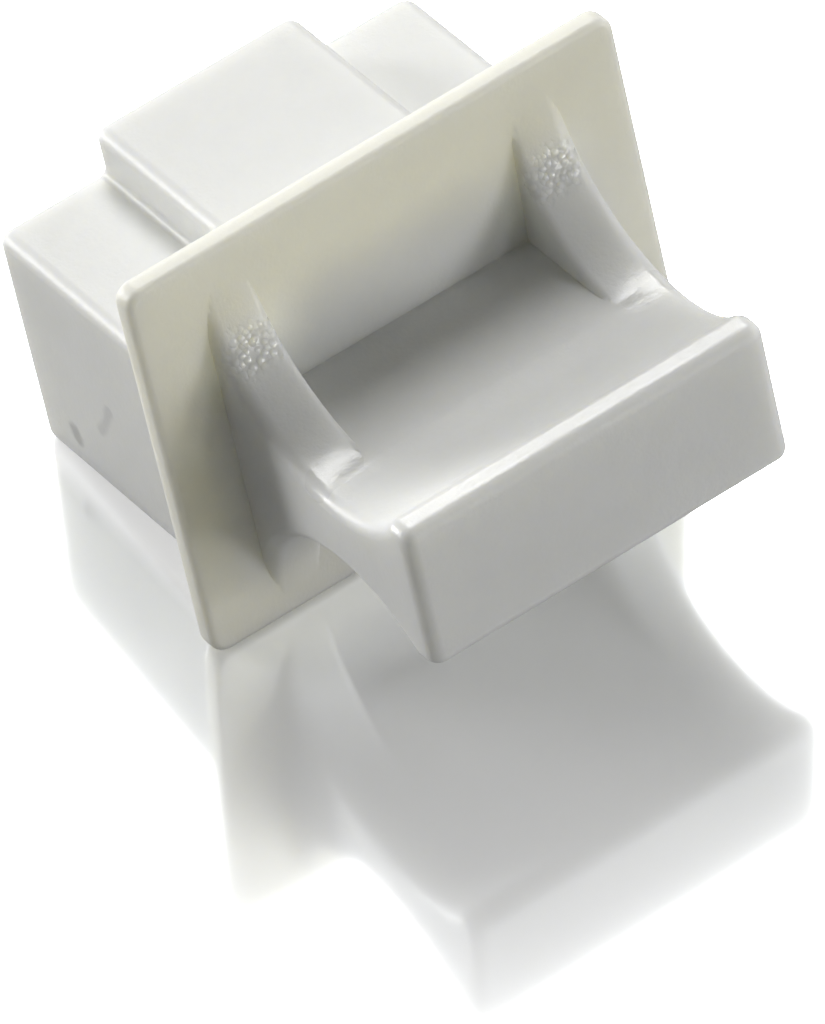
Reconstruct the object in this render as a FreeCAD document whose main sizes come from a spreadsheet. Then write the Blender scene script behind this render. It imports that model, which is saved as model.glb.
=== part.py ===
"""Dust cover for one modular port of a patch panel, moulded in one piece. Sizes are in millimetres.

The cover is drawn along its own axis: the plug points to +Y, the flange's rear face is at y = 0 and the
plug's underside is at z = 0. It is then laid down as it rests on a table, on the lower edge of the flange and
the lower rear edge of the plug, with the pull handle clear of the table.
"""

import FreeCAD
import Part
import Sketcher
import math
import os

SIZES = {
    "plug_width": 11.5,
    "plug_height": 6.2,
    "plug_length": 7.3,
    "plug_edge": 0.35,
    "key_width": 5.6,
    "key_height": 1.25,
    "key_root": 0.2,
    "core_wall": 0.75,
    "core_floor": 0.8,
    "flange_side": 0.9,
    "flange_drop": 1.2,
    "flange_top": 2.15,
    "flange_thickness": 0.65,
    "flange_corner": 0.45,
    "flange_edge": 0.18,
    "grip_drop": 0.23,
    "grip_width": 9.85,
    "grip_radius": 3.92,
    "grip_edge": 0.35,
    "waist_thickness": 1.9,
    "web_rise": 0.04,
    "rib_runout": 0.27,
    "rib_thickness": 1.58,
    "rib_draft": 3.0,
    "rib_edge": 0.2,
    "lip_height": 4.0,
    "lip_land": 0.75,
    "lip_brow": 0.35,
}
NODE = "dust_cover"
TOUCH = 1e-6

# A round takes at most this share of the wall that it is on
SHARE = 0.47

# Lengths that follow from the sizes, as expressions on the sheet
FLANGE_WIDTH = "(sizes.plug_width + 2 * sizes.flange_side)"
FLANGE_HEIGHT = "(sizes.flange_drop + sizes.plug_height + sizes.key_height + sizes.flange_top)"
FLANGE_ROUND = f"min(sizes.flange_edge; {SHARE} * sizes.flange_thickness; {SHARE} * sizes.flange_corner)"
PLUG_ROUND = f"min(sizes.plug_edge; {SHARE} * sizes.core_wall; {SHARE} * sizes.key_height)"
KEY_ROUND = f"min(sizes.key_root; {SHARE} * sizes.key_height)"
RIB_ROUND = f"min(sizes.rib_edge; {SHARE} * sizes.rib_thickness)"
GRIP_ROUND = f"min(sizes.grip_edge; {SHARE} * sizes.rib_thickness; {SHARE} * sizes.lip_land)"
BROW_ROUND = f"min(sizes.lip_brow; {SHARE} * sizes.lip_land)"
GRIP_LEVEL = f"({FLANGE_HEIGHT} / 2 - sizes.flange_drop - sizes.grip_drop)"
HOLLOW_RISE = "(sizes.waist_thickness / 2 + sizes.grip_radius)"
RIB_ROOM = f"({FLANGE_HEIGHT} / 2 - sizes.grip_drop - 2 * {FLANGE_ROUND})"
RIB_HALF = f"min({HOLLOW_RISE} - sizes.rib_runout; {RIB_ROOM})"
RIB_RISE = f"({HOLLOW_RISE} - {RIB_HALF})"
LIP_RISE = f"({HOLLOW_RISE} - sizes.lip_height / 2)"
HOLLOW_BACK = f"sqrt(sizes.grip_radius ^ 2 - {RIB_RISE} ^ 2)"
HOLLOW_FRONT = f"sqrt(sizes.grip_radius ^ 2 - {LIP_RISE} ^ 2)"
WEB_THICKNESS = "(sizes.waist_thickness + 2 * sizes.web_rise)"
POCKET_WIDTH = "(sizes.grip_width - 2 * sizes.rib_thickness)"
POCKET_FLOOR = f"({GRIP_LEVEL} + {WEB_THICKNESS} / 2)"
POCKET_DEPTH = f"({HOLLOW_RISE} - {WEB_THICKNESS} / 2)"
POCKET_MOUTH = f"({POCKET_WIDTH} + 2 * {POCKET_DEPTH} * tan(sizes.rib_draft))"
CORE_WALLS = "2 * sizes.core_wall"

START = 1
END = 2
CENTRE = 3
ORIGIN = (-1, START)
ACROSS = -1
UPRIGHT = -2


def size_sheet(doc):
    """Put every driving size in a sheet, one named cell a row."""
    sheet = doc.addObject("Spreadsheet::Sheet", "sizes")
    for row, (name, number) in enumerate(SIZES.items(), start=1):
        sheet.set(f"A{row}", name)
        sheet.set(f"B{row}", str(number))
        sheet.setAlias(f"B{row}", name)
    doc.recompute()
    return sheet


class Moulding:
    """One body whose sketches and features take their sizes from the sheet."""

    def __init__(self, doc, sheet, name):
        self.doc = doc
        self.sheet = sheet
        self.body = doc.addObject("PartDesign::Body", name)
        self.body.Label = name

    def value(self, size):
        """The number that an expression on the sheet stands for."""
        return float(self.sheet.evalExpression(size))

    def sketch(self, name, role, **offset):
        """A sketch on one of the body's own planes, shifted along the sketch's axes."""
        sketch = self.body.newObject("Sketcher::SketchObject", name)
        plane = next(f for f in self.body.Origin.OriginFeatures if f.Role == role)
        sketch.AttachmentSupport = [(plane, "")]
        sketch.MapMode = "FlatFace"
        for axis, size in offset.items():
            sketch.setExpression(f"AttachmentOffset.Base.{axis}", size)
        return sketch

    def distance(self, sketch, direction, start, end, size):
        """Hold end ahead of start by a size, along direction X or Y of the sketch."""
        kind = f"Distance{direction}"
        index = sketch.addConstraint(Sketcher.Constraint(kind, *start, *end, self.value(size)))
        sketch.setExpression(f"Constraints[{index}]", size)

    def polygon(self, sketch, points):
        """Closed outline of straight lines through the points; returns the lines' numbers."""
        count = len(points)
        lines = []
        for here, there in zip(points, points[1:] + points[:1]):
            line = Part.LineSegment(FreeCAD.Vector(*here, 0), FreeCAD.Vector(*there, 0))
            lines.append(sketch.addGeometry(line))
        for number in range(count):
            following = lines[(number + 1) % count]
            sketch.addConstraint(Sketcher.Constraint("Coincident", lines[number], END, following, START))
        return lines

    def feature(self, kind, name, sketch, length, **settings):
        """A pad or pocket of the sketch, as deep as the size length."""
        feature = self.body.newObject(f"PartDesign::{kind}", name)
        feature.Profile = sketch
        for setting, choice in settings.items():
            setattr(feature, setting, choice)
        feature.setExpression("Length", length)
        self.doc.recompute()
        return feature

    def mirror(self, name, original, plane):
        """Repeat a feature on the other side of a plane."""
        mirror = self.body.newObject("PartDesign::Mirrored", name)
        mirror.Originals = [original]
        mirror.MirrorPlane = plane
        self.body.Tip = mirror
        self.doc.recompute()
        return mirror

    def fillet(self, name, radius, chosen):
        """Round every edge of the body so far that the test chosen picks."""
        base = self.body.Tip
        names = [f"Edge{n}" for n, edge in enumerate(base.Shape.Edges, start=1) if chosen(edge)]
        if not names:
            raise RuntimeError(f"{name} found no edge to round")
        fillet = self.body.newObject("PartDesign::Fillet", name)
        fillet.Base = (base, names)
        fillet.setExpression("Radius", radius)
        self.doc.recompute()
        return fillet


def near(first, second):
    """Are two lengths the same?"""
    return abs(first - second) < TOUCH


def lies_at(edge, axis, place):
    """Does the whole edge lie in the plane where the named axis has this value?"""
    box = edge.BoundBox
    return near(getattr(box, f"{axis}Min"), place) and near(getattr(box, f"{axis}Max"), place)


def runs_along(edge, axis):
    """Is the edge straight and parallel to the named axis?"""
    box = edge.BoundBox
    others = [name for name in "XYZ" if name != axis]
    return all(near(getattr(box, f"{name}Length"), 0) for name in others)


def grip_profile(moulding):
    """Side view of the pull handle: a round hollow above and below, and an upright front face."""
    number = moulding.value
    sketch = moulding.sketch("grip_profile", "YZ_Plane", x="-sizes.flange_thickness", y=GRIP_LEVEL)
    radius = number("sizes.grip_radius")
    centre = number(HOLLOW_BACK)
    rise = number(HOLLOW_RISE)
    half_lip = number("sizes.lip_height") / 2
    half_rib = number(RIB_HALF)
    root = math.asin(number(RIB_RISE) / radius)
    brow = math.asin(number(LIP_RISE) / radius)
    land = centre + number(HOLLOW_FRONT)
    reach = land + number("sizes.lip_land")
    flat = FreeCAD.Vector(0, 0, 1)
    upper_circle = Part.Circle(FreeCAD.Vector(-centre, rise, 0), flat, radius)
    lower_circle = Part.Circle(FreeCAD.Vector(-centre, -rise, 0), flat, radius)

    def line(start, end):
        return sketch.addGeometry(Part.LineSegment(FreeCAD.Vector(*start, 0), FreeCAD.Vector(*end, 0)))

    front = line((-reach, -half_lip), (-reach, half_lip))
    upper_land = line((-reach, half_lip), (-land, half_lip))
    upper_arc = sketch.addGeometry(Part.ArcOfCircle(upper_circle, math.pi + brow, 2 * math.pi - root))
    back = line((0, half_rib), (0, -half_rib))
    lower_arc = sketch.addGeometry(Part.ArcOfCircle(lower_circle, root, math.pi - brow))
    lower_land = line((-land, -half_lip), (-reach, -half_lip))
    corners = [
        (front, END, upper_land, START),
        (upper_land, END, upper_arc, START),
        (upper_arc, END, back, START),
        (back, END, lower_arc, START),
        (lower_arc, END, lower_land, START),
        (lower_land, END, front, START),
    ]
    for corner in corners:
        sketch.addConstraint(Sketcher.Constraint("Coincident", *corner))
    for land_line in (upper_land, lower_land):
        sketch.addConstraint(Sketcher.Constraint("Horizontal", land_line))
    sketch.addConstraint(Sketcher.Constraint("Symmetric", front, START, front, END, ACROSS))
    sketch.addConstraint(Sketcher.Constraint("Symmetric", upper_arc, CENTRE, lower_arc, CENTRE, ACROSS))
    sketch.addConstraint(Sketcher.Constraint("Equal", upper_arc, lower_arc))
    for end in (START, END):
        sketch.addConstraint(Sketcher.Constraint("PointOnObject", back, end, UPRIGHT))
    index = sketch.addConstraint(Sketcher.Constraint("Radius", upper_arc, radius))
    sketch.setExpression(f"Constraints[{index}]", "sizes.grip_radius")
    moulding.distance(sketch, "X", (upper_arc, CENTRE), ORIGIN, HOLLOW_BACK)
    moulding.distance(sketch, "Y", (lower_arc, CENTRE), (upper_arc, CENTRE), f"2 * {HOLLOW_RISE}")
    moulding.distance(sketch, "X", (upper_land, START), (upper_land, END), "sizes.lip_land")
    moulding.distance(sketch, "Y", (front, START), (front, END), "sizes.lip_height")
    return sketch


def trapezoid(moulding, sketch, width, top_width, height):
    """Even-sided outline that stands on the sketch's base line and is centred on its upright axis."""
    half = moulding.value(width) / 2
    half_top = moulding.value(top_width) / 2
    rise = moulding.value(height)
    outline = [(-half, 0), (half, 0), (half_top, rise), (-half_top, rise)]
    bottom, right, top, _ = moulding.polygon(sketch, outline)
    for level in (bottom, top):
        sketch.addConstraint(Sketcher.Constraint("Symmetric", level, START, level, END, UPRIGHT))
    sketch.addConstraint(Sketcher.Constraint("PointOnObject", bottom, START, ACROSS))
    moulding.distance(sketch, "X", (bottom, START), (bottom, END), width)
    moulding.distance(sketch, "X", (top, END), (top, START), top_width)
    moulding.distance(sketch, "Y", (right, START), (right, END), height)


def stepped_section(moulding, sketch, width, height, key_width, key_height):
    """Box with a narrower key on top, standing on the sketch's own base line."""
    half = moulding.value(width) / 2
    half_key = moulding.value(key_width) / 2
    shoulder = moulding.value(height)
    top = shoulder + moulding.value(key_height)
    right_side = [(half, 0), (half, shoulder), (half_key, shoulder), (half_key, top)]
    left_side = [(-across, up) for across, up in reversed(right_side)]
    lines = moulding.polygon(sketch, right_side + left_side)
    right, right_shoulder, key_right, key_top, key_left, left_shoulder, left, bottom = lines
    for upright in (right, key_right, key_left, left):
        sketch.addConstraint(Sketcher.Constraint("Vertical", upright))
    for level in (right_shoulder, left_shoulder):
        sketch.addConstraint(Sketcher.Constraint("Horizontal", level))
    for span in (bottom, key_top):
        sketch.addConstraint(Sketcher.Constraint("Symmetric", span, START, span, END, UPRIGHT))
    sketch.addConstraint(Sketcher.Constraint("PointOnObject", bottom, START, ACROSS))
    sketch.addConstraint(Sketcher.Constraint("Horizontal", right, END, left, START))
    moulding.distance(sketch, "X", (bottom, START), (bottom, END), width)
    moulding.distance(sketch, "Y", (right, START), (right, END), height)
    moulding.distance(sketch, "X", (key_top, END), (key_top, START), key_width)
    moulding.distance(sketch, "Y", (key_right, START), (key_right, END), key_height)


def build_grip(moulding):
    """Pull handle: two waisted side ribs, a flat web between them and a thick front lip."""
    face = -moulding.value("sizes.flange_thickness")
    half_width = moulding.value("sizes.grip_width") / 2
    brow = face - moulding.value(f"{HOLLOW_BACK} + {HOLLOW_FRONT}")
    profile = grip_profile(moulding)
    moulding.feature("Pad", "grip", profile, "sizes.grip_width", SideType="Symmetric")
    section = moulding.sketch("pocket_section", "XZ_Plane", y=POCKET_FLOOR, z="sizes.flange_thickness")
    trapezoid(moulding, section, POCKET_WIDTH, POCKET_MOUTH, POCKET_DEPTH)
    pocket = moulding.feature("Pocket", "upper_pocket", section, HOLLOW_BACK, Reversed=True)
    moulding.mirror("lower_pocket", pocket, (profile, ["H_Axis"]))

    def at_side(edge):
        return lies_at(edge, "X", half_width) or lies_at(edge, "X", -half_width)

    def rib_edge(edge):
        return isinstance(edge.Curve, (Part.Circle, Part.Ellipse)) and not at_side(edge)

    def brow_edge(edge):
        return lies_at(edge, "Y", brow) and runs_along(edge, "X")

    def outer_edge(edge):
        across = runs_along(edge, "X") and near(edge.Length, 2 * half_width)
        return (at_side(edge) or across) and not lies_at(edge, "Y", face)

    moulding.fillet("rib_edges", RIB_ROUND, rib_edge)
    moulding.fillet("brow_edges", BROW_ROUND, brow_edge)
    moulding.fillet("grip_edges", GRIP_ROUND, outer_edge)


def build_flange(moulding):
    """Thin plate that stops against the panel, with rounded corners and edges."""
    half = moulding.value(FLANGE_WIDTH) / 2
    low = -moulding.value("sizes.flange_drop")
    high = low + moulding.value(FLANGE_HEIGHT)
    front = -moulding.value("sizes.flange_thickness")
    section = moulding.sketch("flange_section", "XZ_Plane", y="-sizes.flange_drop")
    trapezoid(moulding, section, FLANGE_WIDTH, FLANGE_WIDTH, FLANGE_HEIGHT)
    moulding.feature("Pad", "flange", section, "sizes.flange_thickness")

    def corner(edge):
        side = lies_at(edge, "X", half) or lies_at(edge, "X", -half)
        return side and runs_along(edge, "Y")

    def rim(edge):
        box = edge.BoundBox
        at_side = near(box.XMin, -half) or near(box.XMax, half)
        at_end = near(box.ZMin, low) or near(box.ZMax, high)
        return (at_side or at_end) and (lies_at(edge, "Y", 0) or lies_at(edge, "Y", front))

    moulding.fillet("flange_corners", "sizes.flange_corner", corner)
    moulding.fillet("flange_edges", FLANGE_ROUND, rim)


def build_plug(moulding):
    """Plug with its latch key on top, cored out from behind to an even wall."""
    rear = moulding.value("sizes.plug_length")
    half_key = moulding.value("sizes.key_width") / 2
    shoulder = moulding.value("sizes.plug_height")
    section = moulding.sketch("plug_section", "XZ_Plane")
    names = ("plug_width", "plug_height", "key_width", "key_height")
    stepped_section(moulding, section, *[f"sizes.{name}" for name in names])
    moulding.feature("Pad", "plug", section, "sizes.plug_length", Reversed=True)

    def long_edge(edge):
        return runs_along(edge, "Y") and near(edge.BoundBox.YMax, rear)

    def key_root(edge):
        return long_edge(edge) and near(abs(edge.CenterOfMass.x), half_key) and lies_at(edge, "Z", shoulder)

    moulding.fillet("key_roots", KEY_ROUND, key_root)
    roots = moulding.body.Tip

    def outer_edge(edge):
        faces = roots.Shape.ancestorsOfType(edge, Part.Face)
        smooth = any(isinstance(face.Surface, Part.Cylinder) for face in faces)
        return lies_at(edge, "Y", rear) or (long_edge(edge) and not smooth)

    moulding.fillet("plug_edges", PLUG_ROUND, outer_edge)
    core = moulding.sketch("core_section", "XZ_Plane", y="sizes.core_wall", z="-sizes.plug_length")
    stepped_section(
        moulding,
        core,
        f"sizes.plug_width - {CORE_WALLS}",
        f"sizes.plug_height - {CORE_WALLS}",
        f"sizes.key_width - {CORE_WALLS}",
        "sizes.key_height",
    )
    moulding.feature("Pocket", "core", core, "sizes.plug_length - sizes.core_floor", Reversed=True)


def lay_down(moulding):
    """Turn the cover about X until its two lowest edges are level, and centre it on the table."""
    number = moulding.value
    flange_round = number(FLANGE_ROUND)
    plug_round = number(PLUG_ROUND)
    run = number("sizes.plug_length") - plug_round + flange_round
    rise = number("sizes.flange_drop") + plug_round - flange_round
    span = math.hypot(run, rise)
    lean = math.atan2(rise, run) - math.asin((plug_round - flange_round) / span)
    turn = FreeCAD.Rotation(FreeCAD.Vector(1, 0, 0), -math.degrees(lean))
    body = moulding.body
    body.Placement = FreeCAD.Placement(FreeCAD.Vector(), turn)
    moulding.doc.recompute()
    box = body.Shape.optimalBoundingBox(False, False)
    body.Placement.Base = FreeCAD.Vector(-box.Center.x, -box.Center.y, -box.ZMin)
    moulding.doc.recompute()
    return lean


def check(doc, body):
    """Stop if any object failed or the solid isn't one sound piece."""
    failed = [item.Name for item in doc.Objects if {"Invalid", "Error"} & set(item.State)]
    sketches = doc.findObjects("Sketcher::SketchObject")
    loose = [sketch.Name for sketch in sketches if not sketch.FullyConstrained]
    if failed or loose:
        raise RuntimeError(f"failed: {failed}; not fully constrained: {loose}")
    if body.Shape.isNull() or not body.Shape.isValid() or len(body.Shape.Solids) != 1:
        raise RuntimeError(f"{body.Label} isn't one sound solid")


def main():
    """Build the cover, check it and write its solid."""
    doc = FreeCAD.newDocument("dust_cover")
    sheet = size_sheet(doc)
    moulding = Moulding(doc, sheet, NODE)
    build_grip(moulding)
    build_flange(moulding)
    build_plug(moulding)
    lean = lay_down(moulding)
    check(doc, moulding.body)
    os.makedirs("parts", exist_ok=True)
    moulding.body.Shape.exportStep(os.path.join("parts", f"{moulding.body.Label}.step"))
    box = moulding.body.Shape.optimalBoundingBox(False, False)
    print(f"volume {moulding.body.Shape.Volume:.2f} mm3, leaning {math.degrees(lean):.2f} degrees")
    print(f"box {box.XLength:.3f} x {box.YLength:.3f} x {box.ZLength:.3f} mm")


main()
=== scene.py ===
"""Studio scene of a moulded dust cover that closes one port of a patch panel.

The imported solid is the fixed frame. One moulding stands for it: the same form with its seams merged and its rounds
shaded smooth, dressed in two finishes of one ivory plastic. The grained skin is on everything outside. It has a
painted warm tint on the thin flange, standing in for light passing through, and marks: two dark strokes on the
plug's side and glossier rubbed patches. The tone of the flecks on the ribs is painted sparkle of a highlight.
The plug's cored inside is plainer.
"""

import logging
import math
from dataclasses import dataclass, field
from enum import Enum

import bmesh
import bpy
from mathutils import Matrix, Quaternion, Vector


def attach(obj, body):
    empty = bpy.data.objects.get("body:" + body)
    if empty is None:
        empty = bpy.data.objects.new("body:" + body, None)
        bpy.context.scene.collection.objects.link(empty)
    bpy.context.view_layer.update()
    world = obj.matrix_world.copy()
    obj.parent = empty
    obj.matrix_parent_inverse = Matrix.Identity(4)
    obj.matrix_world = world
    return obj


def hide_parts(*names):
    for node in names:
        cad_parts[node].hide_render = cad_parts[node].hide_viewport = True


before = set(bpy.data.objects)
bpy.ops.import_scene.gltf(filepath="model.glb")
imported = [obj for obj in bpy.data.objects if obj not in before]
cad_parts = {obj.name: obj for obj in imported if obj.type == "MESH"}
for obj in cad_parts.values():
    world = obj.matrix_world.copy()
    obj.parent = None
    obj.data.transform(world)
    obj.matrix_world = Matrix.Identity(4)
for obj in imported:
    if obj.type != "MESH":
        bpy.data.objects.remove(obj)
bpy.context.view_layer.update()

Pair = tuple[float, float]
Triple = tuple[float, float, float]
Socket = bpy.types.NodeSocket

MILLIMETRE = 0.001
NODE = "dust_cover"
BODY = "root"
PIECE = "dust_cover_moulding"
WHITE = (1.0, 1.0, 1.0, 1.0)
SIDES = (-1.0, 1.0)
NOISE_MIDDLE = 0.5

# A Mix node has sockets of the same names for every data type. These are the numbers of its colour sockets.
MIX_FIRST, MIX_SECOND, MIX_RESULT = 6, 7, 2

log = logging.getLogger("dust_cover_scene")


class Region(Enum):
    """Part of the moulding's surface that has a finish of its own, numbered by material slot."""

    SKIN = 0
    CORE = 1


def compass(azimuth: float, elevation: float) -> Vector:
    """Unit vector from the cover towards a place round it.

    Args:
        azimuth: Degrees round the cover; 0 is in front of the handle and 90 on its right.
        elevation: Degrees above the table.

    Returns:
        The direction, in the row frame.
    """
    turn = math.radians(azimuth)
    rise = math.radians(elevation)
    return Vector((math.sin(turn) * math.cos(rise), -math.cos(turn) * math.cos(rise), math.sin(rise)))


def put(name: str, data: bpy.types.ID) -> bpy.types.Object:
    """Put a new object into the scene.

    Args:
        name: Name of the object.
        data: Its mesh, lamp or camera.

    Returns:
        The object, at the origin.
    """
    item = bpy.data.objects.new(name, data)
    bpy.context.scene.collection.objects.link(item)
    return item


class Graph:
    """Nodes of one tree, added and wired by name."""

    def __init__(self, tree: bpy.types.NodeTree) -> None:
        """Start from an empty tree."""
        self.tree = tree
        tree.nodes.clear()

    def add(self, kind: str, inputs: dict | None = None, **settings: object) -> bpy.types.Node:
        """Add a node.

        Args:
            kind: Blender's name of the node type, without the ShaderNode prefix or in full.
            inputs: Values or source sockets by input name or number.
            settings: Properties of the node itself.

        Returns:
            The new node.
        """
        full = kind if kind.startswith("Node") else f"ShaderNode{kind}"
        node = self.tree.nodes.new(full)
        for name, value in settings.items():
            setattr(node, name, value)
        for name, value in (inputs or {}).items():
            if isinstance(value, Socket):
                self.tree.links.new(value, node.inputs[name])
            else:
                node.inputs[name].default_value = value
        return node

    def math(self, operation: str, *values: Socket | float, clamp: bool = False) -> Socket:
        """Add a Math node and return its result."""
        node = self.add("Math", dict(enumerate(values)), operation=operation, use_clamp=clamp)
        return node.outputs[0]

    def vector(self, operation: str, *values: Socket | Triple, result: str = "Vector") -> Socket:
        """Add a Vector Math node and return the result that is named."""
        node = self.add("VectorMath", dict(enumerate(values)), operation=operation)
        return node.outputs[result]

    def ramp(self, value: Socket, low: float, high: float, start: float, end: float) -> Socket:
        """Smooth step of a value from start at low to end at high.

        Args:
            value: Socket to read.
            low: Value at which the step begins.
            high: Value at which the step is over.
            start: Result below the step.
            end: Result above the step.

        Returns:
            The result's socket.
        """
        limits = {"Value": value, "From Min": low, "From Max": high, "To Min": start, "To Max": end}
        return self.add("MapRange", limits, interpolation_type="SMOOTHSTEP").outputs["Result"]

    def scaled(self, color: Socket, share: Socket) -> Socket:
        """Multiply a colour or vector by one number."""
        return self.add("VectorMath", {0: color, "Scale": share}, operation="SCALE").outputs["Vector"]


class Effects:
    """Node groups that the finishes share."""

    GRAIN_DETAIL: float = 2.0
    MOTTLE_DETAIL: float = 3.0
    MOTTLE_DISTORTION: float = 0.6
    RAGGED_DETAIL: float = 1.0
    MARK_EDGE: Pair = (0.3, 1.0)
    FLECK_EDGE: Pair = (0.1, 0.75)

    def __init__(self) -> None:
        """Build each group once."""
        self.grain = self.moulded_grain()
        self.mottle = self.flow_mottle()
        self.rub = self.rub_mark()

    @staticmethod
    def new_group(
        name: str, inputs: dict[str, str], outputs: dict[str, str]
    ) -> tuple[Graph, dict[str, Socket], bpy.types.Node]:
        """Make an empty group with named sockets.

        Args:
            name: Name of the group.
            inputs: Socket types by input name.
            outputs: Socket types by output name.

        Returns:
            The group's graph, its input sockets by name and its output node.
        """
        tree = bpy.data.node_groups.new(name, "ShaderNodeTree")
        for socket, kind in inputs.items():
            tree.interface.new_socket(socket, in_out="INPUT", socket_type=f"NodeSocket{kind}")
        for socket, kind in outputs.items():
            tree.interface.new_socket(socket, in_out="OUTPUT", socket_type=f"NodeSocket{kind}")
        graph = Graph(tree)
        entry = graph.add("NodeGroupInput")
        leave = graph.add("NodeGroupOutput")
        return graph, {socket.name: socket for socket in entry.outputs}, leave

    def moulded_grain(self) -> bpy.types.NodeTree:
        """Make the fine spark-eroded grain with its coarser pits.

        Returns:
            The group, which puts out the grain's height in millimetres and a gloss share that follows the pits.
        """
        floats = ("Fine Size", "Fine Depth", "Coarse Size", "Coarse Depth")
        inputs = {"Vector": "Vector", **{name: "Float" for name in floats}}
        graph, given, leave = self.new_group("moulded_grain", inputs, {"Height": "Float", "Gloss": "Float"})
        noises, heights = [], []
        for layer in ("Fine", "Coarse"):
            scale = graph.math("DIVIDE", 1.0, given[f"{layer} Size"])
            values = {"Vector": given["Vector"], "Scale": scale, "Detail": self.GRAIN_DETAIL}
            noises.append(graph.add("TexNoise", values).outputs["Fac"])
            centred = graph.math("SUBTRACT", noises[-1], NOISE_MIDDLE)
            heights.append(graph.math("MULTIPLY", centred, given[f"{layer} Depth"]))
        graph.tree.links.new(graph.math("ADD", *heights), leave.inputs["Height"])
        graph.tree.links.new(noises[-1], leave.inputs["Gloss"])
        return graph.tree

    def flow_mottle(self) -> bpy.types.NodeTree:
        """Make the faint uneven tone that the flow of the melt leaves in a pale plastic.

        Returns:
            The group, which puts out the colour.
        """
        inputs = {"Vector": "Vector", "Color": "Color", "Size": "Float", "Amount": "Float"}
        graph, given, leave = self.new_group("flow_mottle", inputs, {"Color": "Color"})
        values = {
            "Vector": given["Vector"],
            "Scale": graph.math("DIVIDE", 1.0, given["Size"]),
            "Detail": self.MOTTLE_DETAIL,
            "Distortion": self.MOTTLE_DISTORTION,
        }
        noise = graph.add("TexNoise", values).outputs["Fac"]
        centred = graph.math("SUBTRACT", noise, NOISE_MIDDLE)
        tone = graph.math("MULTIPLY_ADD", centred, given["Amount"], 1.0)
        graph.tree.links.new(graph.scaled(given["Color"], tone), leave.inputs["Color"])
        return graph.tree

    def rub_mark(self) -> bpy.types.NodeTree:
        """Make the ragged rub along a straight line.

        Returns:
            The group, which puts out the rub's mask and its flecks; the flecks run from -1 to 1.
        """
        inputs = {"Vector": "Vector", "Start": "Vector", "End": "Vector", "Width": "Float", "Fleck Size": "Float"}
        graph, given, leave = self.new_group("rub_mark", inputs, {"Mask": "Float", "Flecks": "Float"})
        run = graph.vector("SUBTRACT", given["End"], given["Start"])
        away = graph.vector("SUBTRACT", given["Vector"], given["Start"])
        along = graph.vector("DOT_PRODUCT", away, run, result="Value")
        length = graph.vector("DOT_PRODUCT", run, run, result="Value")
        share = graph.math("DIVIDE", along, length, clamp=True)
        gap = graph.vector("DISTANCE", away, graph.scaled(run, share), result="Value")
        placed = {"Vector": given["Vector"], "Scale": graph.math("DIVIDE", 1.0, given["Fleck Size"])}
        noise = graph.add("TexNoise", {**placed, "Detail": self.RAGGED_DETAIL}).outputs["Fac"]
        ragged = graph.math("SUBTRACT", noise, NOISE_MIDDLE)
        torn = graph.math("ADD", graph.math("DIVIDE", gap, given["Width"]), ragged)
        mask = graph.ramp(torn, *self.MARK_EDGE, 1.0, 0.0)
        grains = graph.add("TexVoronoi", placed).outputs["Distance"]
        flecks = graph.math("MULTIPLY", mask, graph.ramp(grains, *self.FLECK_EDGE, 1.0, -1.0))
        graph.tree.links.new(mask, leave.inputs["Mask"])
        graph.tree.links.new(flecks, leave.inputs["Flecks"])
        return graph.tree


@dataclass(frozen=True)
class Lie:
    """How the cover lies on the table: its own axes seen from the row frame, in radians and metres."""

    lean: float = 0.16641548
    base: Triple = (0.0, -0.000444505, 0.001156092)

    def matrix(self) -> Matrix:
        """Row frame from the cover's own frame."""
        return Matrix.Translation(self.base) @ Matrix.Rotation(-self.lean, 4, "X")

    def own_millimetres(self, graph: Graph) -> Socket:
        """Turn Object coordinates to the cover's own axes.

        Args:
            graph: Nodes of the material.

        Returns:
            The socket of the cover's own coordinates in millimetres.
        """
        inputs = {
            "Vector": graph.add("TexCoord").outputs["Object"],
            "Location": self.base,
            "Rotation": (-self.lean, 0.0, 0.0),
            "Scale": (MILLIMETRE, MILLIMETRE, MILLIMETRE),
        }
        return graph.add("Mapping", inputs, vector_type="TEXTURE").outputs["Vector"]


@dataclass
class Look:
    """Sockets of a surface while its finish is put together. The height is in millimetres."""

    color: Socket
    roughness: Socket
    height: Socket


@dataclass(frozen=True)
class Rub:
    """A mark along a line, from one point to another in the cover's own millimetres.

    Darkness and polish are the shares of tone and roughness that the mark takes away, flecks is the swing of their
    tone, and relief is their height. The flecks' tone is painted sparkle, standing in for a highlight broken up by the
    grain.
    """

    start: Triple
    end: Triple
    width: float
    darkness: float = 0.0
    polish: float = 0.0
    flecks: float = 0.0
    relief: float = 0.0
    fleck_size: float = 0.17

    def mark(self, look: Look, graph: Graph, effects: Effects, place: Socket) -> None:
        """Leave the mark on a surface.

        Args:
            look: The surface so far. What the mark changes is replaced in it.
            graph: Nodes of the material.
            effects: Node groups that the finishes share.
            place: The cover's own coordinates in millimetres.
        """
        values = {
            "Vector": place,
            "Start": self.start,
            "End": self.end,
            "Width": self.width,
            "Fleck Size": self.fleck_size,
        }
        rub = graph.add("Group", values, node_tree=effects.rub).outputs
        if self.darkness:
            look.color = graph.scaled(look.color, graph.math("MULTIPLY_ADD", rub["Mask"], -self.darkness, 1.0))
        if self.polish:
            worn = graph.math("MULTIPLY_ADD", rub["Mask"], -self.polish, 1.0)
            look.roughness = graph.math("MULTIPLY", look.roughness, worn)
        # The flecks' tone is painted sparkle: lighter and darker bits standing in for a highlight broken up by the
        # grain.
        if self.flecks:
            look.color = graph.scaled(look.color, graph.math("MULTIPLY_ADD", rub["Flecks"], self.flecks, 1.0))
            look.height = graph.math("MULTIPLY_ADD", rub["Flecks"], self.relief, look.height)


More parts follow.
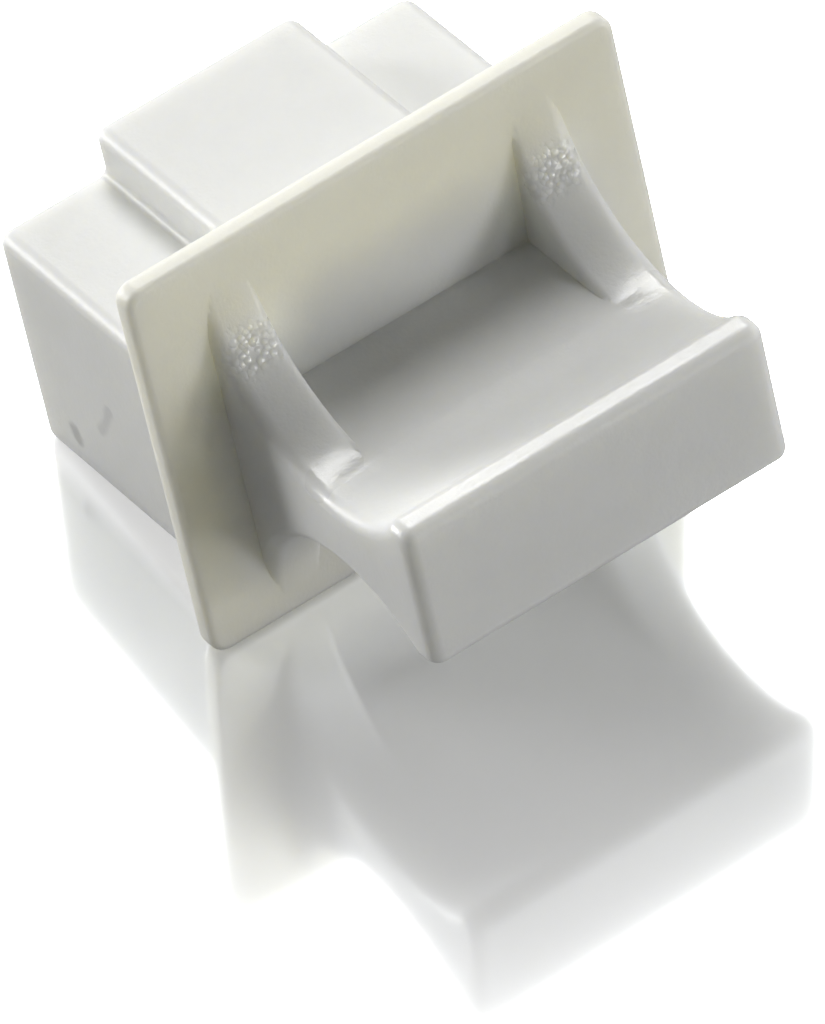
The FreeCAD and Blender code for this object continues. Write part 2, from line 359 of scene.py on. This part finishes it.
@dataclass(frozen=True)
class PaintedThinGlow:
    """Painted warm tint standing in for light through the thin flange where no plug backs it. Lengths in own
    millimetres.
    """

    tint: Triple = (1.0, 0.985, 0.92)
    plug_half: Pair = (5.75, 3.7)
    plug_middle: float = 3.7
    corner: float = 0.8
    outline: Pair = (-1.8, 0.6)
    front: Pair = (-1.5, -0.65)
    rear: Pair = (0.05, 0.5)

    def share(self, graph: Graph, place: Socket) -> Socket:
        """Share of the painted tint at a place: full on the flange past the plug's outline, fading on what stands on
        it.

        Args:
            graph: Nodes of the material.
            place: The cover's own coordinates in millimetres.

        Returns:
            The share's socket.
        """
        half_width, half_height = self.plug_half
        parts = graph.add("SeparateXYZ", {"Vector": place}).outputs
        across = graph.math("SUBTRACT", graph.math("ABSOLUTE", parts["X"]), half_width)
        level = graph.math("ABSOLUTE", graph.math("SUBTRACT", parts["Z"], self.plug_middle))
        upright = graph.math("SUBTRACT", level, half_height)
        outside = graph.ramp(graph.math("SMOOTH_MAX", across, upright, self.corner), *self.outline, 0.0, 1.0)
        ahead = graph.ramp(parts["Y"], *self.front, 0.0, 1.0)
        behind = graph.ramp(parts["Y"], *self.rear, 1.0, 0.0)
        return graph.math("MULTIPLY", outside, graph.math("MULTIPLY", ahead, behind))


@dataclass(frozen=True)
class PlasticFinish:
    """Ivory plastic as it shows on one region of the moulding.

    Fine and coarse are sizes and depths of the grain in millimetres, and mottle is a size and an amount. Depth is how
    far light wanders in the plastic, in metres, and radius is each colour's share of it.
    """

    name: str
    color: Triple = (0.77, 0.775, 0.755)
    roughness: Pair = (0.42, 0.5)
    fine: Pair = (0.08, 0.005)
    coarse: Pair = (0.22, 0.009)
    mottle: Pair = (1.4, 0.06)
    subsurface: float = 0.9
    depth: float = 0.001
    radius: Triple = (1.0, 0.97, 0.82)
    painted_glow: PaintedThinGlow | None = None
    rubs: tuple[Rub, ...] = ()

    def material(self, effects: Effects, lie: Lie) -> bpy.types.Material:
        """Make the finish as a material.

        Args:
            effects: Node groups that the finishes share.
            lie: Where the cover's own axes are.

        Returns:
            The new material.
        """
        made = bpy.data.materials.new(self.name)
        made.use_nodes = True
        graph = Graph(made.node_tree)
        place = lie.own_millimetres(graph)
        look = self.look(graph, effects, place)
        for rub in self.rubs:
            rub.mark(look, graph, effects, place)
        bump = graph.add("Bump", {"Height": look.height, "Distance": MILLIMETRE})
        shader = graph.add(
            "BsdfPrincipled",
            {
                "Base Color": look.color,
                "Roughness": look.roughness,
                "Normal": bump.outputs["Normal"],
                "Subsurface Weight": self.subsurface,
                "Subsurface Scale": self.depth,
                "Subsurface Radius": self.radius,
            },
        )
        graph.add("OutputMaterial", {"Surface": shader.outputs["BSDF"]})
        return made

    def look(self, graph: Graph, effects: Effects, place: Socket) -> Look:
        """Put together the unmarked surface.

        Args:
            graph: Nodes of the material.
            effects: Node groups that the finishes share.
            place: The cover's own coordinates in millimetres.

        Returns:
            The surface's sockets.
        """
        fine_size, fine_depth = self.fine
        coarse_size, coarse_depth = self.coarse
        sizes = {
            "Vector": place,
            "Fine Size": fine_size,
            "Fine Depth": fine_depth,
            "Coarse Size": coarse_size,
            "Coarse Depth": coarse_depth,
        }
        grain = graph.add("Group", sizes, node_tree=effects.grain).outputs
        smooth, rough = self.roughness
        limits = {"Value": grain["Gloss"], "To Min": smooth, "To Max": rough}
        roughness = graph.add("MapRange", limits).outputs["Result"]
        return Look(self.tone(graph, effects, place), roughness, grain["Height"])

    def tone(self, graph: Graph, effects: Effects, place: Socket) -> Socket:
        """Colour of the plastic with its mottle and the painted warm tint on its flange.

        Args:
            graph: Nodes of the material.
            effects: Node groups that the finishes share.
            place: The cover's own coordinates in millimetres.

        Returns:
            The colour's socket.
        """
        size, amount = self.mottle
        values = {"Vector": place, "Color": (*self.color, 1.0), "Size": size, "Amount": amount}
        color = graph.add("Group", values, node_tree=effects.mottle).outputs["Color"]
        if self.painted_glow is None:
            return color
        # Painted warm tint on the thin flange, standing in for light passing through it.
        mixed = graph.add("Mix", data_type="RGBA", blend_type="MULTIPLY")
        graph.tree.links.new(self.painted_glow.share(graph, place), mixed.inputs["Factor"])
        graph.tree.links.new(color, mixed.inputs[MIX_FIRST])
        mixed.inputs[MIX_SECOND].default_value = (*self.painted_glow.tint, 1.0)
        return mixed.outputs[MIX_RESULT]


@dataclass
class DustCover:
    """The moulding: plug with its latch key, thin flange and waisted pull handle, in one piece.

    Sizes are in millimetres and angles in degrees. The core has a half width in the plug and one in the key, and its
    levels are its bottom, its shoulder under the key and its top.
    """

    lie: Lie = Lie()
    core_half: Pair = (5.0, 2.05)
    core_levels: Triple = (0.75, 5.45, 6.70)
    core_floor: float = 0.8
    slack: float = 0.02
    weld: float = 0.0005
    flat: float = 0.05
    crease: float = 38.0
    finishes: dict[Region, PlasticFinish] = field(default_factory=dict)

    def region(self, point: Vector) -> Region:
        """Say which region of the moulding a point of its surface is on.

        Args:
            point: Place in the row frame, in metres.

        Returns:
            The region.
        """
        own = self.lie.matrix().inverted() @ point / MILLIMETRE
        bottom, shoulder, top = self.core_levels
        in_plug, in_key = self.core_half
        half = in_plug if own.z < shoulder + self.slack else in_key
        inside = bottom - self.slack < own.z < top + self.slack and abs(own.x) < half + self.slack
        return Region.CORE if inside and own.y > self.core_floor - self.slack else Region.SKIN

    def build(self) -> bpy.types.Object:
        """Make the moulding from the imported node's form, with its seams merged and its rounds smooth.

        Returns:
            The finished object, riding on the body and standing for the node.
        """
        piece = put(PIECE, self.mesh())
        self.dress(piece)
        normals = piece.modifiers.new("even_rounds", "WEIGHTED_NORMAL")
        normals.keep_sharp = True
        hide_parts(NODE)
        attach(piece, BODY)
        return piece

    def mesh(self) -> bpy.types.Mesh:
        """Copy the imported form, merge its seams and flat facets, and sort its faces by region.

        Returns:
            The new mesh.
        """
        form = bmesh.new()
        form.from_mesh(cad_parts[NODE].data)
        bmesh.ops.remove_doubles(form, verts=form.verts, dist=self.weld * MILLIMETRE)
        bmesh.ops.dissolve_degenerate(form, edges=form.edges, dist=self.weld * MILLIMETRE)
        bmesh.ops.dissolve_limit(form, angle_limit=math.radians(self.flat), verts=form.verts, edges=form.edges)
        for edge in form.edges:
            edge.smooth = edge.calc_face_angle(0.0) < math.radians(self.crease)
        for face in form.faces:
            face.smooth = True
            face.material_index = self.region(face.calc_center_median()).value
        mesh = bpy.data.meshes.new(PIECE)
        form.to_mesh(mesh)
        form.free()
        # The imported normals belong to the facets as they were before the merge.
        mesh.attributes.remove(mesh.attributes["custom_normal"])
        return mesh

    def dress(self, piece: bpy.types.Object) -> None:
        """Give each region of the moulding its finish.

        Args:
            piece: The moulding's object.
        """
        effects = Effects()
        for region in Region:
            piece.data.materials.append(self.finishes[region].material(effects, self.lie))


@dataclass(frozen=True)
class Lamp:
    """One soft lamp that faces the cover. Angles are in degrees and lengths in metres.

    The level is the light that the lamp gives on a white card facing it.
    """

    name: str
    azimuth: float
    elevation: float
    size: float
    level: float
    distance: float = 0.5

    def place(self) -> bpy.types.Object:
        """Hang the lamp, unseen by the camera.

        Returns:
            The lamp's object.
        """
        data = bpy.data.lights.new(self.name, "AREA")
        data.shape = "DISK"
        data.size = self.size
        data.energy = self.level * (math.pi * self.distance) ** 2
        lamp = put(self.name, data)
        away = compass(self.azimuth, self.elevation)
        lamp.location = away * self.distance
        lamp.rotation_mode = "QUATERNION"
        lamp.rotation_quaternion = away.to_track_quat("Z", "Y")
        lamp.visible_camera = False
        return lamp


@dataclass(frozen=True)
class PaleFloor:
    """Polished pale floor that keeps the cover's shadow and mirrors it close by.

    Lengths are in metres and angles in degrees. The polish fades in one direction and is duller under the plug.
    Where it shines, the mirror image takes the place of the lift that makes the floor white, and of polish_cover more.
    """

    half_width: float = 0.6
    color: Triple = (0.52, 0.52, 0.52)
    lift: float = 0.76
    polish: float = 0.75
    polish_cover: float = 0.14
    polish_tint: Triple = (0.96, 0.985, 1.0)
    roughness: float = 0.08
    mirror_tilt: float = 1.76
    fade_direction: float = -30.0
    fade: Pair = (0.0, 0.031)
    dull_share: float = 0.62
    dull_beside: Pair = (0.0058, 0.0064)
    dull_behind: Pair = (-0.0012, -0.0006)

    def lay(self) -> bpy.types.Object:
        """Lay the floor under the cover.

        Returns:
            The floor's object.
        """
        sheet = bmesh.new()
        bmesh.ops.create_grid(sheet, x_segments=1, y_segments=1, size=self.half_width)
        mesh = bpy.data.meshes.new("pale_floor")
        sheet.to_mesh(mesh)
        sheet.free()
        mesh.materials.append(self.material())
        floor = put("pale_floor", mesh)
        return floor

    def shine(self, graph: Graph) -> Socket:
        """Share of light that the polish mirrors at a place on the floor.

        Args:
            graph: Nodes of the material.

        Returns:
            The share's socket.
        """
        place = graph.add("TexCoord").outputs["Object"]
        ahead = graph.vector("DOT_PRODUCT", place, tuple(compass(self.fade_direction, 0.0)), result="Value")
        shine = graph.ramp(ahead, *self.fade, self.polish, 0.0)
        parts = graph.add("SeparateXYZ", {"Vector": place}).outputs
        beside = graph.ramp(graph.math("ABSOLUTE", parts["X"]), *self.dull_beside, self.dull_share, 0.0)
        dull = graph.math("MULTIPLY", beside, graph.ramp(parts["Y"], *self.dull_behind, 0.0, 1.0))
        return graph.math("MULTIPLY", shine, graph.math("SUBTRACT", 1.0, dull))

    def material(self) -> bpy.types.Material:
        """Make the floor white to the camera, with the cover's shadow and mirror image, and clear from below.

        Returns:
            The new material.
        """
        made = bpy.data.materials.new("pale_floor")
        made.use_nodes = True
        graph = Graph(made.node_tree)
        seen = graph.add("LightPath").outputs["Is Camera Ray"]
        shine = self.shine(graph)
        tilt = math.radians(self.mirror_tilt)
        facing = graph.add("CombineXYZ", {"Y": math.sin(tilt), "Z": math.cos(tilt)}).outputs["Vector"]
        tint = graph.add("CombineXYZ", dict(enumerate(self.polish_tint))).outputs["Vector"]
        gloss = graph.scaled(tint, graph.math("MULTIPLY", seen, shine))
        mirror = graph.add("BsdfGlossy", {"Color": gloss, "Roughness": self.roughness, "Normal": facing})
        bare = graph.math("MULTIPLY_ADD", shine, -self.lift - self.polish_cover, self.lift)
        lift = graph.add("Emission", {"Strength": graph.math("MULTIPLY", seen, bare)})
        card = graph.add("BsdfDiffuse", {"Color": (*self.color, 1.0)})
        pale = graph.add("AddShader", {0: card.outputs[0], 1: lift.outputs[0]})
        polished = graph.add("AddShader", {0: pale.outputs[0], 1: mirror.outputs[0]})
        below = graph.math("MULTIPLY", seen, graph.add("NewGeometry").outputs["Backfacing"])
        clear = graph.add("BsdfTransparent")
        surface = graph.add("MixShader", {0: below, 1: polished.outputs[0], 2: clear.outputs[0]})
        graph.add("OutputMaterial", {"Surface": surface.outputs[0]})
        return made


@dataclass
class Studio:
    """Pale floor, soft lamps and a white surround."""

    floor: PaleFloor = PaleFloor()
    lamps: tuple[Lamp, ...] = ()

    def build(self) -> list[bpy.types.Object]:
        """Set up the floor, the lamps and the surround; returns the floor and the lamps."""
        self.surround()
        return [self.floor.lay(), *[lamp.place() for lamp in self.lamps]]

    def surround(self) -> None:
        """Make the surround plain white to the camera and in reflections. It gives no other light."""
        world = bpy.data.worlds.new("white_surround")
        world.use_nodes = True
        graph = Graph(world.node_tree)
        path = graph.add("LightPath").outputs
        seen = graph.math("ADD", path["Is Camera Ray"], path["Is Glossy Ray"])
        seen = graph.math("ADD", seen, path["Is Transmission Ray"], clamp=True)
        sky = graph.add("Background", {"Color": WHITE, "Strength": seen})
        graph.add("OutputWorld", {"Surface": sky.outputs[0]})
        bpy.context.scene.world = world


@dataclass(frozen=True)
class PhotoCamera:
    """Long lens at the photograph's angle. Angles are in degrees, lengths in metres, the lens in millimetres."""

    azimuth: float = -30.129
    elevation: float = 49.121
    roll: float = -7.289
    distance: float = 0.356108
    target: Triple = (-0.000867565, -0.000857772, 0.000469774)
    lens: float = 554.004
    sensor: float = 36.0
    clip: Pair = (0.01, 10.0)

    def place(self) -> bpy.types.Object:
        """Set up the camera and make it the scene's own.

        Returns:
            The camera's object.
        """
        data = bpy.data.cameras.new("photo_camera")
        data.lens = self.lens
        data.sensor_width = self.sensor
        data.clip_start, data.clip_end = self.clip
        camera = put("photo_camera", data)
        away = compass(self.azimuth, self.elevation)
        camera.location = Vector(self.target) + away * self.distance
        camera.rotation_mode = "QUATERNION"
        turn = Quaternion((0.0, 0.0, 1.0), math.radians(self.roll))
        camera.rotation_quaternion = (-away).to_track_quat("-Z", "Y") @ turn
        bpy.context.scene.camera = camera
        return camera


# Two dark strokes on the plug's left side.
PLUG_SIDE_DARK_STROKES = (
    Rub(start=(-5.75, 5.76, 1.2), end=(-5.75, 5.66, 0.96), width=0.3, darkness=0.28, fleck_size=0.4),
    Rub(start=(-5.75, 3.66, 3.0), end=(-5.75, 4.33, 2.0), width=0.22, darkness=0.14, fleck_size=0.4),
)
# Glossier patches on the ribs, whose flecks' tone is painted sparkle standing in for a highlight broken up by the
# grain.
RIB_FLECKS_AND_PAINTED_SPARKLE = tuple(
    Rub(
        start=(side * 4.4, -1.17, 6.88),
        end=(side * 3.8, -1.17, 6.88),
        width=0.75,
        polish=0.6,
        flecks=0.07,
        relief=0.012,
    )
    for side in SIDES
)
RIB_ENDS = tuple(
    Rub(start=(side * 4.7, -3.95, 4.97), end=(side * 4.0, -3.95, 4.97), width=0.8, polish=0.55, fleck_size=1.0)
    for side in SIDES
)
LIP_LAND = Rub(start=(-4.7, -7.4, 5.97), end=(4.7, -7.4, 5.97), width=0.6, polish=0.35, fleck_size=1.0)
FINISHES = {
    Region.SKIN: PlasticFinish(
        name="grained_ivory", painted_glow=PaintedThinGlow(), rubs=(*PLUG_SIDE_DARK_STROKES, *RIB_FLECKS_AND_PAINTED_SPARKLE, *RIB_ENDS, LIP_LAND)
    ),
    Region.CORE: PlasticFinish(name="cored_ivory", roughness=(0.42, 0.54), coarse=(0.3, 0.012)),
}
LAMPS = (
    Lamp("back_softbox", azimuth=150.0, elevation=49.0, size=0.24, level=0.58),
    Lamp("back_low_softbox", azimuth=154.0, elevation=33.0, size=0.14, level=0.13),
    Lamp("back_left_softbox", azimuth=216.0, elevation=10.0, size=0.18, level=0.76),
    Lamp("front_right_softbox", azimuth=44.0, elevation=9.0, size=0.18, level=0.37),
    Lamp("right_softbox", azimuth=90.0, elevation=9.0, size=0.16, level=0.12),
    Lamp("front_fill", azimuth=0.0, elevation=9.0, size=0.16, level=0.05),
    Lamp("glint", azimuth=21.0, elevation=22.0, size=0.06, level=0.08),
)


def main() -> None:
    """Build the cover, the studio and the camera, and report each piece."""
    logging.basicConfig(level=logging.INFO, format="%(name)s: %(message)s")
    bpy.context.scene.view_settings.view_transform = "Standard"
    cover = DustCover(finishes=FINISHES).build()
    log.info("%s: %d faces in %d finishes", cover.name, len(cover.data.polygons), len(cover.data.materials))
    for piece in Studio(lamps=LAMPS).build():
        log.info("%s set up", piece.name)
    log.info("%s set up", PhotoCamera().place().name)


if __name__ == "__main__":
    main()
